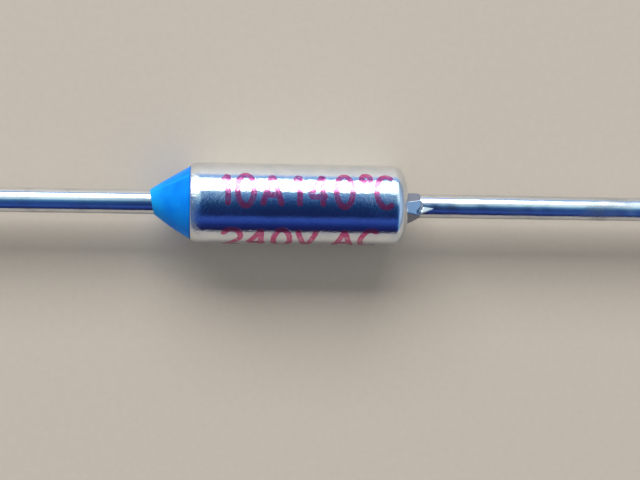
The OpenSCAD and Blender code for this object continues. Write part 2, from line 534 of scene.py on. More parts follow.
@dataclass(frozen=True)
class PressedFinish(Finish):
    """A dull pressed or fired body: fine grains, clouds of colour and scattered pores."""

    pale: Colour = (0.86, 0.84, 0.78)
    dark: Colour = (0.74, 0.70, 0.62)
    grains: float = 9.0
    dullness: float = 0.6

    def paint(self, tree: Tree) -> None:
        """Mixes the two tones by cloud and by grain.

        Args:
            tree: The material's empty tree.
        """
        place = tree.place()
        clouds = tree.noise(place, 1.2, 4.0)
        grains = tree.specks(place, self.grains)
        pores = 1.0 - tree.specks(place, 2.5).step(0.0, 0.12)
        tree.surface({
            "Base Color": tree.mix(clouds * 0.6 + pores * 0.4, self.pale, self.dark),
            "Roughness": self.dullness + grains * 0.15,
            "Normal": tree.bump(grains - pores * 0.8, 0.012),
        })


@dataclass(frozen=True)
class SheetFinish(Finish):
    """Stamped sheet metal: rolling lines across it, faint tarnish and fine grain."""

    bright: Colour = (0.86, 0.84, 0.80)
    dark_tone: Colour = (0.62, 0.58, 0.52)
    polish: float = 0.2

    def paint(self, tree: Tree) -> None:
        """Lays rolling lines over the sheet and tarnishes it in clouds.

        Args:
            tree: The material's empty tree.
        """
        place = tree.place()
        lines = tree.noise(tree.place((6.0, 0.6, 12.0)), 1.0, 4.0)
        clouds = tree.noise(place, 2.0, 5.0).step(0.4, 0.75)
        tree.surface({
            "Base Color": tree.mix(clouds, self.bright, self.dark_tone),
            "Metallic": 1.0,
            "Roughness": self.polish + lines * 0.12 + clouds * 0.1,
            "Normal": tree.bump(lines, 0.002),
        })


@dataclass(frozen=True)
class FloorFinish(Finish):
    """A plain pale table top with a fine even grain."""

    pale: Colour = (0.62, 0.575, 0.51)
    warm: Colour = (0.57, 0.525, 0.46)

    def paint(self, tree: Tree) -> None:
        """Mixes two close tones by grain.

        Args:
            tree: The material's empty tree.
        """
        grain = tree.noise(tree.place(), 3.0, 3.0, 0.6)
        tree.surface({
            "Base Color": tree.mix(grain, self.pale, self.warm),
            "Roughness": 0.45,
            "Specular IOR Level": 0.18,
        })


# Surfaces

class Ends(Enum):
    """How the rows of a grid end."""

    JOINED = "the last row joins the first"
    CLOSED = "a cap closes each end"


def run(*points: Pair, count: int = 2) -> Points:
    """Samples straight runs between points of a half section.

    Args:
        points: The corners, each a place along the axis and a radius.
        count: How many samples each run has.

    Returns:
        The samples, one row each.
    """
    corners = np.array(points, float)
    share = np.linspace(0.0, 1.0, count)[None, :, None]
    runs = corners[:-1, None] * (1.0 - share) + corners[1:, None] * share
    return runs.reshape(-1, 2)


def arc(centre: Pair, radius: float, start: float, end: float, count: int) -> Points:
    """Samples an arc of a half section: the centre plus the radius times (cosine, sine).

    Args:
        centre: The arc's centre, a place along the axis and a radius.
        radius: The arc's own radius.
        start: The angle where it starts, in degrees from +X towards larger radii.
        end: The angle where it ends.
        count: How many samples it has.

    Returns:
        The samples, one row each.
    """
    angle = np.radians(np.linspace(start, end, count))
    return np.array(centre) + radius * np.stack([np.cos(angle), np.sin(angle)], -1)


def joined(*runs: Points) -> Points:
    """Joins runs of a half section and drops a sample that repeats the one before it.

    Args:
        runs: The runs in order.

    Returns:
        All their samples.
    """
    whole = np.concatenate(runs)
    keep = np.linalg.norm(np.diff(whole, axis=0), axis=1) > 1e-6
    return whole[np.concatenate([[True], keep])]


def softest(first: Points, second: Points, blend: float) -> Points:
    """Takes the lesser of two radii and rounds the edge where they cross.

    The result is -blend * log(exp(-first / blend) + exp(-second / blend)).

    Args:
        first: Radii in millimetres.
        second: Radii in millimetres.
        blend: How far the rounding reaches, in millimetres.

    Returns:
        The rounded lesser radii.
    """
    return -blend * np.logaddexp(-first / blend, -second / blend)


@dataclass(frozen=True)
class Ripple:
    """Unevenness of a worked surface: cosine waves along and round the axis, with fixed seeds."""

    height: float
    shortest: float
    longest: float
    turns: int
    seed: int
    waves: int = 14

    def at(self, along: Points, angle: Points) -> Points:
        """Sums the waves, each the cosine of its place along, its whole turns round and its phase.

        Args:
            along: Places along the axis in millimetres.
            angle: Angles round the axis in radians.

        Returns:
            The offset of the radius in millimetres.
        """
        dice = np.random.default_rng(self.seed)
        lengths = dice.uniform(self.shortest, self.longest, self.waves)
        turns = dice.integers(-self.turns, self.turns + 1, self.waves)
        phases = dice.uniform(0.0, 2.0 * np.pi, self.waves)
        waves = 2.0 * np.pi * along[..., None] / lengths + turns * angle[..., None] + phases
        return self.height * np.cos(waves).sum(-1) / math.sqrt(self.waves / 2.0)


def around(steps: int) -> Points:
    """Gives equal angles of a full turn, in radians."""
    return np.linspace(0.0, 2.0 * np.pi, steps, endpoint=False)


def turned(along: Points, radius: Points, angle: Points) -> Points:
    """Places a surface round the axis: (along, radius * sin(angle), radius * cos(angle)).

    Args:
        along: Places along the axis in millimetres.
        radius: Radii in millimetres.
        angle: Angles from the top towards +Y, in radians.

    Returns:
        Points in millimetres, with x, y and z in the last dimension.
    """
    wide = np.broadcast_arrays(along, radius * np.sin(angle), radius * np.cos(angle))
    return np.stack(wide, -1)


@dataclass
class Skin:
    """Vertices and faces of one or more closed surfaces, gathered into one mesh."""

    name: str
    points: list[Points] = field(default_factory=list)
    quads: list[NDArray[np.int64]] = field(default_factory=list)
    fans: list[NDArray[np.int64]] = field(default_factory=list)
    total: int = 0

    def add(self, grid: Points, ends: Ends) -> None:
        """Adds a grid whose columns run round and join.

        A face takes the corners (row, column), (row, next), (next row, next) and (next row, column).
        A cap is a fan of triangles round the middle of its row. The volume tells which way faces point.

        Args:
            grid: Points in millimetres, rows by columns by 3.
            ends: How the rows end.
        """
        rows, columns = grid.shape[:2]
        index = np.arange(rows * columns).reshape(rows, columns)
        after = np.roll(index, -1, axis=1)
        last = rows if ends is Ends.JOINED else rows - 1
        below = np.roll(index, -1, axis=0)
        below_after = np.roll(after, -1, axis=0)
        quads = np.stack([index, after, below_after, below], -1)[:last].reshape(-1, 4)
        points = grid.reshape(-1, 3)
        fans = np.zeros((0, 3), np.int64)
        if ends is Ends.CLOSED:
            points = np.concatenate([points, grid[[0, -1]].mean(1)])
            first = np.full(columns, rows * columns)
            fans = np.concatenate([
                np.stack([first, after[0], index[0]], -1),
                np.stack([first + 1, index[-1], after[-1]], -1),
            ])
        triangles = np.concatenate([quads[:, [0, 1, 2]], quads[:, [0, 2, 3]], fans])
        a, b, c = (points[triangles[:, corner]] for corner in range(3))
        if np.einsum("ij,ij->", a, np.cross(b, c)) < 0.0:
            quads, fans = quads[:, ::-1], fans[:, ::-1]
        self.points.append(points)
        self.quads.append(quads + self.total)
        self.fans.append(fans + self.total)
        self.total += len(points)

    def piece(self, finish: Finish, sharp: float = 40.0) -> bpy.types.Object:
        """Makes the mesh object.

        Args:
            finish: What the piece is dressed in.
            sharp: Edges that bend more than this many degrees stay sharp.

        Returns:
            The new object, linked to the scene and riding on the body.
        """
        points = np.concatenate(self.points) * MM
        quads = np.concatenate(self.quads)
        fans = np.concatenate(self.fans)
        loops = np.concatenate([quads.ravel(), fans.ravel()])
        sizes = np.concatenate([np.full(len(quads), 4), np.full(len(fans), 3)])
        starts = np.concatenate([[0], np.cumsum(sizes)[:-1]])
        mesh = bpy.data.meshes.new(self.name)
        mesh.vertices.add(len(points))
        mesh.vertices.foreach_set("co", points.ravel())
        mesh.loops.add(len(loops))
        mesh.loops.foreach_set("vertex_index", loops.astype(np.int32))
        mesh.polygons.add(len(starts))
        mesh.polygons.foreach_set("loop_start", starts.astype(np.int32))
        mesh.update(calc_edges=True)
        mesh.polygons.foreach_set("use_smooth", np.ones(len(starts), bool))
        mesh.set_sharp_from_angle(angle=math.radians(sharp))
        mesh.materials.append(finish.material())
        piece = bpy.data.objects.new(self.name, mesh)
        bpy.context.scene.collection.objects.link(piece)
        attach(piece, BODY)
        return piece


class SubAssembly(ABC):
    """A group of pieces that are built and dressed together."""

    @abstractmethod
    def make(self) -> list[bpy.types.Object]:
        """Builds and dresses the pieces, and returns them."""


# Pieces

@dataclass
class CaseShell(SubAssembly):
    """The drawn cup with its rolled mouth, its rounded closed end and the hole for the tenon."""

    wall: float = 0.3
    base: float = 0.5
    dome_len: float = 0.75
    dome_drop: float = 1.25
    dome_power: float = 2.3
    dome_rise: float = 0.1
    bend: float = 0.3
    roll: float = 1.5
    roll_len: float = 0.55
    lip_edge: float = 0.02
    tenon: float = 0.4
    rivet: float = 0.65
    rivet_depth: float = 0.25
    steps: int = 256
    finish: Finish = PlatedFinish("silver_plate")
    dents: Ripple = Ripple(height=0.0016, shortest=0.9, longest=5.0, turns=5, seed=3)

    def dome(self) -> Points:
        """Draws the drawn end's rounding, a superellipse: sine and cosine, each raised to 2 / power.

        Returns:
            Samples from the hole's side out to the straight wall, one row each.
        """
        quarter = np.radians(np.linspace(90.0, 0.0, 48))
        share = 2.0 / self.dome_power
        along = np.sin(quarter) ** share * self.dome_len + CLOSED_END + self.dome_rise - self.dome_len
        radius = np.abs(np.cos(quarter)) ** share * self.dome_drop + CASE_R - self.dome_drop
        return np.stack([along, radius], -1)

    def section(self) -> Points:
        """Draws the wall's closed half section: closed end, outside, rolled mouth, and back along the inside.

        Returns:
            Samples of the section, one row each.
        """
        radius, mouth, end = CASE_R, MOUTH, CLOSED_END
        dome = self.dome()
        inner = radius - self.wall
        hub = (mouth + self.roll_len, radius - self.roll)
        lip_angle = math.degrees(math.acos(-self.roll_len / self.roll))
        short = self.roll - self.wall
        mouth_angle = math.degrees(math.acos(-self.roll_len / short))
        base, bend = end - self.base, self.bend
        edge = math.degrees(self.lip_edge / self.roll)
        return joined(
            run((dome[0, 0], self.tenon), (dome[0, 0], dome[0, 1]), count=8),
            dome,
            run((dome[-1, 0], radius), (hub[0], radius), count=72),
            arc(hub, self.roll, 90.0, lip_angle - edge, 24),
            run(
                (mouth, hub[1] + self.roll * math.sin(math.radians(lip_angle)) - self.lip_edge),
                (mouth, hub[1] + short * math.sin(math.radians(mouth_angle)) + self.lip_edge),
                count=6,
            ),
            arc(hub, short, mouth_angle - edge, 90.0, 16),
            run((hub[0], inner), (base - bend, inner), count=12),
            arc((base - bend, inner - bend), bend, 90.0, 0.0, 10),
            run((base, inner - bend), (base, self.rivet), (base + self.rivet_depth, self.tenon), count=3),
        )

    def make(self) -> list[bpy.types.Object]:
        """Turns the section round the axis and dents it slightly.

        Returns:
            The case.
        """
        section = self.section()
        along, angle = section[:, :1], around(self.steps)[None, :]
        radius = section[:, 1:] + self.dents.at(*np.broadcast_arrays(along, angle))
        skin = Skin("case_shell")
        skin.add(turned(along, radius, angle), Ends.JOINED)
        piece = skin.piece(self.finish)
        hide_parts("case")
        return [piece]


@dataclass
class CaseLead(SubAssembly):
    """The wire staked through the closed end: rivet head, tenon, pinched neck and round wire."""

    # Stake
    base: float = CaseShell.base
    rivet: float = CaseShell.rivet
    rivet_depth: float = CaseShell.rivet_depth
    tenon: float = CaseShell.tenon
    # Pressed neck, with its angles in degrees
    flare: float = 1.07
    neck_len: float = WireFinish.neck_len
    die_edge: float = 0.02
    flat: float = 0.45
    flat_half: float = 0.39
    draft: float = 30.0
    ridge_draft: float = 50.0
    dip: float = 12.0
    runout: float = 48.0
    turn: float = -11.0
    beyond: float = 3.0
    # Crest past the neck, with its bearings and slopes in degrees
    crest_face: float = 15.0
    crest_back: float = -80.0
    crest_level: float = 0.58
    crest_reach: float = 0.465
    crest_fall: float = 2.8
    crest_taper: float = 20.2
    crest_start: float = 0.09
    crest_skew: float = 0.42
    crest_ease: float = 0.09
    crest_fade: float = 6.0
    crest_widest: float = 89.0
    # Shank and ends
    worked_len: float = 0.8
    tip_len: float = 0.4
    chamfer: float = 0.1
    head_cap: float = 0.2
    tip_cap: float = 0.15
    blend: float = 0.012
    steps: int = 208
    finish: Finish = WireFinish(
        "dull_tinned_wire", bright=(0.76, 0.78, 0.81), dull=(0.46, 0.48, 0.52), polish=0.15, dulling=0.14,
        lines=0.003, pressed=0.9,
    )
    waves: Ripple = Ripple(height=0.003, shortest=0.7, longest=4.5, turns=3, seed=11)

    def pinched(self, along: Points, radius: Points, angle: Points) -> Points:
        """Cuts the flared neck to what the two dies leave, and lays the crest on past their end.

        Seen along the axis, with the angle folded to the quarter between a flat's normal (0) and a side
        (90 degrees), a plane at distance d whose normal stands at angle n leaves the radius
        d / cos(angle - n). The neck is the least of flare, flat and flank, and the flank on the ridge's side
        leans further out.
        Past the dies' end only the flat goes on, rising at the run-out's slope until the wire is round.

        Args:
            along: Places along the axis in millimetres.
            radius: Radii before the pinch.
            angle: Angles from the top towards +Y.

        Returns:
            Radii after the pinch.
        """
        neck_end = CLOSED_END + self.neck_len
        local = angle - math.radians(self.turn)
        folded = np.arccos(np.abs(np.cos(local)))
        upright = np.radians(90.0 - np.where(np.sin(local) < 0.0, self.ridge_draft, self.draft))
        flank = self.flat_half * np.sin(upright) + self.flat * np.cos(upright)
        fall = np.clip(neck_end - along, 0.0, None) * math.tan(math.radians(self.dip))
        rise = np.clip(along - neck_end, 0.0, None) * math.tan(math.radians(self.runout))
        level = self.flat + fall + rise
        flat_r = np.minimum(level / np.maximum(np.cos(folded), 1e-3), self.beyond)
        flank_r = np.minimum(flank / np.cos(folded - upright), self.beyond)
        free = np.clip((along - neck_end) / self.die_edge, 0.0, 1.0)
        bar_r = softest(flat_r, flank_r + free * self.beyond, self.blend)
        return np.maximum(softest(radius, bar_r, self.blend * 0.5), self.crest(along, angle))

    def crest(self, along: Points, angle: Points) -> Points:
        """Raises the crest that the dies pushed up past their end, low on the wire's front.

        It is the lesser of two planes, a face and a back, each distance / cos(angle from its normal).
        Outside the two normals the angle counts as 0, which leaves the crest inside the wire.
        Both planes sink away from the case. The crest starts later the higher it lies, by the sine of its
        bearing, and ends at the wire's middle line.

        Args:
            along: Places along the axis in millimetres.
            angle: Angles from the top towards +Y.

        Returns:
            The crest's radii.
        """
        past = along - CLOSED_END - self.neck_len
        bearing = np.degrees((angle + np.pi) % (2.0 * np.pi) - np.pi)
        late = past - self.crest_start - self.crest_skew * np.sin(angle)
        begun = np.clip(late / self.crest_ease, 0.0, 1.0)
        kept = begun * np.clip(1.0 - bearing / self.crest_fade, 0.0, 1.0)
        off_face = np.radians(np.clip(self.crest_face - bearing, 0.0, self.crest_widest))
        off_back = np.radians(np.clip(bearing - self.crest_back, 0.0, self.crest_widest))
        face_d = self.crest_level - past * math.tan(math.radians(self.crest_fall))
        back_d = np.clip(self.crest_reach - past * math.tan(math.radians(self.crest_taper)), 0.0, None)
        return softest(face_d / np.cos(off_face), back_d / np.cos(off_back), self.blend) * kept

    def make(self) -> list[bpy.types.Object]:
        """Turns the wire's section round the axis, pinches its neck and waves its shank.

        Returns:
            The lead.
        """
        wire, end = WIRE_R, CLOSED_END
        base = end - self.base
        tip = node_span("case_lead")[1]
        neck_end = end + self.neck_len
        free_end = neck_end + self.die_edge
        worked_end = neck_end + self.worked_len
        stake = (base + self.rivet_depth, self.tenon)
        section = joined(
            run((base, self.head_cap), (base, self.rivet), stake, (end, self.tenon), count=4),
            run((end, self.tenon), (end, self.flare), count=12),
            run((end, self.flare), (neck_end, wire), count=76),
            run((neck_end, wire), (free_end, wire), count=6),
            run((free_end, wire), (worked_end, wire), count=50),
            run((worked_end, wire), (tip - self.chamfer, wire), count=170),
            run((tip - self.chamfer, wire), (tip, wire - self.chamfer), (tip, self.tip_cap), count=5),
        )
        along, angle = np.broadcast_arrays(section[:, :1], around(self.steps)[None, :])
        fade_in = np.clip((along - neck_end) / self.worked_len, 0.0, 1.0)
        fade_out = np.clip((tip - along) / self.tip_len, 0.0, 1.0)
        waved = fade_in * fade_out * self.waves.at(along, angle)
        radius = self.pinched(along, section[:, 1:], angle) + waved
        skin = Skin("case_lead_wire")
        skin.add(turned(along, radius, angle), Ends.CLOSED)
        piece = skin.piece(self.finish, sharp=50.0)
        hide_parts("case_lead")
        return [piece]


@dataclass
class IsolatedLead(SubAssembly):
    """The wire through the seal, with its headed inner end."""

    head_over: float = 0.25
    head_len: float = 0.4
    swell: float = 0.02
    worked_len: float = CaseLead.worked_len
    tip_len: float = CaseLead.tip_len
    chamfer: float = CaseLead.chamfer
    head_cap: float = CaseLead.head_cap
    tip_cap: float = CaseLead.tip_cap
    steps: int = 160
    finish: Finish = WireFinish("bright_tinned_wire", polish=0.1, dulling=0.08)
    waves: Ripple = Ripple(height=0.0018, shortest=1.2, longest=7.0, turns=2, seed=21)

    def make(self) -> list[bpy.types.Object]:
        """Turns the wire's section round the axis and waves its shank.

        Returns:
            The lead.
        """
        wire, seal_tip = WIRE_R, SEAL_TIP
        tip, head = node_span("isolated_lead")
        bushing = node_span("ceramic_bushing")[0]
        inner, head_r = wire + self.swell, wire + self.head_over
        neck = head - self.head_len
        section = joined(
            run((head, self.head_cap), (head, head_r), (neck, head_r), count=4),
            run((neck, inner), (bushing, inner), (seal_tip, wire), count=10),
            run((seal_tip, wire), (tip + self.chamfer, wire), count=180),
            run((tip + self.chamfer, wire), (tip, wire - self.chamfer), (tip, self.tip_cap), count=5),
        )
        along, angle = np.broadcast_arrays(section[:, :1], around(self.steps)[None, :])
        fade_in = np.clip((seal_tip - along) / self.worked_len, 0.0, 1.0)
        fade_out = np.clip((along - tip) / self.tip_len, 0.0, 1.0)
        radius = section[:, 1:] + fade_in * fade_out * self.waves.at(along, angle)
        skin = Skin("isolated_lead_wire")
        skin.add(turned(along, radius, angle), Ends.CLOSED)
        piece = skin.piece(self.finish, sharp=50.0)
        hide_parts("isolated_lead")
        return [piece]


@dataclass
class EpoxySeal(SubAssembly):
    """The cast cone over the mouth, with a slanted tip and the plug that fills the mouth behind it."""

    film: float = 0.012
    trim: float = 0.06
    margin: float = 0.09
    bulge: float = 0.008
    slant: float = 10.0
    roll: float = CaseShell.roll
    roll_len: float = CaseShell.roll_len
    wall: float = CaseShell.wall
    swell: float = IsolatedLead.swell
    edge: float = 0.012
    steps: int = 192
    finish: Finish = EpoxyFinish("blue_epoxy")
    sag: Ripple = Ripple(height=0.004, shortest=2.0, longest=7.0, turns=3, seed=5, waves=8)

    def cone(self, mouth: float, tip: float, base_r: float, tip_r: float) -> Points:
        """Draws the cone's bulging side: the chord plus 4 * bulge * t * (1 - t) along its normal.

        Args:
            mouth: Where the cone starts on the axis.
            tip: Where it ends.
            base_r: Its radius at the mouth.
            tip_r: Its radius at the tip.

        Returns:
            Samples of the side, one row each.
        """
        share = np.linspace(0.0, 1.0, 64)[:, None]
        start, end = np.array([mouth, base_r]), np.array([tip, tip_r])
        chord = end - start
        normal = np.array([chord[1], -chord[0]]) / np.linalg.norm(chord)
        return start + chord * share + normal * 4.0 * self.bulge * share * (1.0 - share)

    def make(self) -> list[bpy.types.Object]:
        """Turns the cone and its plug round the axis, lets the side sag and slants the tip.

        Both rims are eased by parts of the edge's width. The slant pulls a point back by
        (tip radius - height towards +Y) * tan(slant), times the third power of how near the tip it is.

        Returns:
            The seal.
        """
        wire, radius, mouth = WIRE_R, CASE_R, MOUTH
        tip, plug = SEAL_TIP + self.trim, SEAL_PLUG
        hub = (mouth + self.roll_len, radius - self.roll)
        lip = hub[1] + math.sqrt(self.roll**2 - self.roll_len**2)
        short = self.roll - self.wall
        tip_r = wire + self.film
        base_r = lip - self.margin
        start = math.degrees(math.acos((mouth - hub[0]) / short))
        stop = math.degrees(math.acos((plug - hub[0]) / short))
        side = self.cone(mouth - self.edge, tip + self.edge, base_r, tip_r + self.edge)
        section = joined(
            run((mouth, base_r - self.edge), (mouth - self.edge * 0.3, base_r - self.edge * 0.25), count=3),
            side,
            run((tip + self.edge * 0.3, tip_r + self.edge * 0.6), (tip, tip_r), count=4),
            run((tip, tip_r), (tip, wire), count=3),
            run((tip, wire), (plug, wire + self.swell), count=24),
            run((plug, wire + self.swell), (plug, hub[1] + short * math.sin(math.radians(stop))), count=4),
            arc(hub, short, stop, start, 8),
        )
        along, angle = np.broadcast_arrays(section[:, :1], around(self.steps)[None, :])
        near = np.clip((mouth - along) / (mouth - tip), 0.0, 1.0)
        outside = (section[:, 1:] > wire + 0.5 * self.film) * near
        sag = self.sag.at(along, angle) * outside * (1.0 - near) * 4.0 * near
        wide = section[:, 1:] + sag
        height = wide * np.sin(angle)
        pulled = (tip_r - height) * math.tan(math.radians(self.slant)) * near**3
        skin = Skin("seal_cone")
        skin.add(turned(along + pulled, wide, angle), Ends.JOINED)
        piece = skin.piece(self.finish, sharp=50.0)
        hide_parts("epoxy_seal")
        return [piece]


class Glyph(Enum):
    """The signs of a plain rating: digits, unit letters and the degree ring."""

    ZERO = "0"
    ONE = "1"
    TWO = "2"
    FOUR = "4"
    AMPERE = "A"
    CELSIUS = "C"
    VOLT = "V"
    DEGREE = "d"


@dataclass
class RatingPrint(SubAssembly):
    """Two rows of plain rating figures, printed round the case in thin red ink."""

    height: float = 1.62
    stroke: float = 0.28
    proud: float = 0.007
    sunk: float = 0.006
    layer: float = 0.0003
    layers: int = 5
    thinnest: float = 0.01
    row_tops: Pair = (44.0, -38.0)
    rows: ClassVar[tuple[tuple[tuple[str, float, float], ...], ...]] = (
        (
            ("1", -3.80, 0.40), ("0", -3.05, 0.80), ("A", -1.85, 0.95), ("1", -0.35, 0.40),
            ("4", 0.42, 0.88), ("0", 1.72, 0.80), ("d", 2.98, 0.42), ("C", 3.68, 0.88),
        ),
        (
            ("2", -3.72, 0.85), ("4", -2.52, 0.88), ("0", -1.26, 0.80), ("V", -0.12, 0.95),
            ("A", 1.72, 0.95), ("C", 3.02, 0.88),
        ),
    )
    finish: Finish = InkFinish("red_ink")

    @staticmethod
    def oval(centre: Pair, size: Pair, start: float, end: float) -> Points:
        """Samples part of an oval: the centre plus half its width and height times (cosine, sine).

        Args:
            centre: The oval's centre in the glyph's box.
            size: Half its width and half its height.
            start: The angle where it starts, in degrees.
            end: The angle where it ends.

        Returns:
            The samples, one row each.
        """
        angle = np.radians(np.linspace(start, end, 49))
        return np.array(centre) + np.array(size) * np.stack([np.cos(angle), np.sin(angle)], -1)

    def strokes(self, glyph: Glyph) -> list[tuple[Points, Ends]]:
        """Draws a glyph's strokes in a box one wide and one high.

        Args:
            glyph: Which glyph.

        Returns:
            Each stroke's path, and whether its end joins its start.
        """
        lines: Mapping[Glyph, Sequence[Points]] = {
            Glyph.ONE: [run((0.75, 0), (0.75, 1), count=24), run((0.75, 1), (0.1, 0.76), count=12)],
            Glyph.TWO: [
                np.concatenate([
                    self.oval((0.5, 0.72), (0.5, 0.28), 170.0, -38.0),
                    run((0.86, 0.52), (0.02, 0.0), count=20),
                ]),
                run((0.0, 0.0), (1.0, 0.0), count=16),
            ],
            Glyph.FOUR: [
                run((0.74, 0), (0.74, 1), count=24),
                run((0.74, 1), (0.0, 0.3), count=24),
                run((0.0, 0.3), (1.0, 0.3), count=16),
            ],
            Glyph.AMPERE: [
                run((0, 0), (0.5, 1), count=24),
                run((0.5, 1), (1, 0), count=24),
                run((0.17, 0.33), (0.83, 0.33), count=12),
            ],
            Glyph.CELSIUS: [self.oval((0.54, 0.5), (0.54, 0.5), 48.0, 312.0)],
            Glyph.VOLT: [run((0, 1), (0.5, 0), count=24), run((0.5, 0), (1, 1), count=24)],
        }
        loops = {
            Glyph.ZERO: self.oval((0.5, 0.5), (0.5, 0.5), 0.0, 360.0)[:-1],
            Glyph.DEGREE: self.oval((0.5, 0.92), (0.5, 0.13), 0.0, 360.0)[:-1],
        }
        open_ones = [(path, Ends.CLOSED) for path in lines.get(glyph, [])]
        return open_ones + [(path, Ends.JOINED) for kind, path in loops.items() if kind is glyph]

    def ribbon(self, path: Points, ends: Ends, radius: float, lift: float) -> Points:
        """Carries a thin flat profile along a path and wraps it on the case.

        The profile is a flat top, two upright sides and a sunk foot, in shares of half width and height.
        The half width follows a half circle at each open end: half * sqrt(1 - (1 - distance / half) ** 2).
        A point of the flat print (u, v) goes to the place u along the axis and the angle v / radius.

        Args:
            path: The stroke's middle line, in millimetres along and round the case.
            ends: Whether the path joins itself.
            radius: The case's radius.
            lift: An extra height that keeps crossing strokes apart.

        Returns:
            The grid of points, in millimetres.
        """
        half = self.stroke / 2.0
        if ends is Ends.JOINED:
            ahead = np.roll(path, -1, axis=0) - np.roll(path, 1, axis=0)
            width = np.full(len(path), half)
        else:
            way = np.concatenate([[0.0], np.cumsum(np.linalg.norm(np.diff(path, axis=0), axis=1))])
            cap = half * (1.0 - np.cos(np.linspace(0.0, np.pi / 2.0, 9)))
            places = np.concatenate([cap, np.linspace(half, way[-1] - half, 32)[1:-1], way[-1] - cap[::-1]])
            path = np.stack([np.interp(places, way, path[:, part]) for part in range(2)], -1)
            ahead = np.gradient(path, axis=0)
            edge = np.minimum(np.minimum(places, way[-1] - places) / half, 1.0)
            width = np.maximum(half * np.sqrt(1.0 - (1.0 - edge) ** 2), self.thinnest)
        ahead = ahead / np.linalg.norm(ahead, axis=1, keepdims=True)
        across = np.stack([-ahead[:, 1], ahead[:, 0]], -1)
        side = np.array([1.0, 1.0, 0.5, 0.0, -0.5, -1.0, -1.0, -0.4, 0.4])
        top = np.array([0.0, 1.0, 1.0, 1.0, 1.0, 1.0, 0.0, 0.0, 0.0])
        rise = top * (self.proud + lift + self.sunk) - self.sunk
        flat = path[:, None] + across[:, None] * (width[:, None] * side)[..., None]
        return turned(flat[..., 0], radius + np.broadcast_to(rise, flat.shape[:2]), flat[..., 1] / radius)

    def make(self) -> list[bpy.types.Object]:
        """Lays every stroke of both rows on the case.

        Returns:
            The print.
        """
        laid = [
            (path * (wide, self.height) + (left, math.radians(top) * CASE_R - self.height), ends)
            for top, row in zip(self.row_tops, self.rows)
            for sign, left, wide in row
            for path, ends in self.strokes(Glyph(sign))
        ]
        skin = Skin("rating_print")
        for number, (path, ends) in enumerate(laid):
            skin.add(self.ribbon(path, ends, CASE_R, self.layer * (number % self.layers)), ends)
        return [skin.piece(self.finish, sharp=60.0)]


@dataclass
class InnerWorks(SubAssembly):
    """What the case holds: the CAD solids keep their shapes and get their finishes."""

    finishes: Mapping[str, Finish] = field(default_factory=lambda: {
        "ceramic_bushing": PressedFinish("fired_ceramic"),
        "trip_spring": WireFinish("trip_spring_wire", (0.60, 0.61, 0.64), (0.40, 0.40, 0.42), 0.25),
        "star_contact": SheetFinish("silvered_sheet"),
        "contact_disc": SheetFinish("copper_sheet", (0.86, 0.50, 0.33), (0.55, 0.28, 0.17), 0.25),
        "barrel_spring": WireFinish("barrel_spring_wire", (0.58, 0.59, 0.62), (0.36, 0.36, 0.38), 0.28),
        "pellet_disc": SheetFinish("copper_blank", (0.84, 0.49, 0.32), (0.52, 0.27, 0.17), 0.28),
        "thermal_pellet": PressedFinish("pressed_pellet", (0.88, 0.80, 0.52), (0.74, 0.62, 0.34), 12.0, 0.5),
    })

    def make(self) -> list[bpy.types.Object]:
        """Puts each finish on its CAD solid.

        Returns:
            The solids.
        """
        pieces = []
        for node, finish in self.finishes.items():
            piece = frame["nodes"][node]
            piece.data.materials.clear()
            piece.data.materials.append(finish.material())
            pieces.append(piece)
        return pieces


# Studio

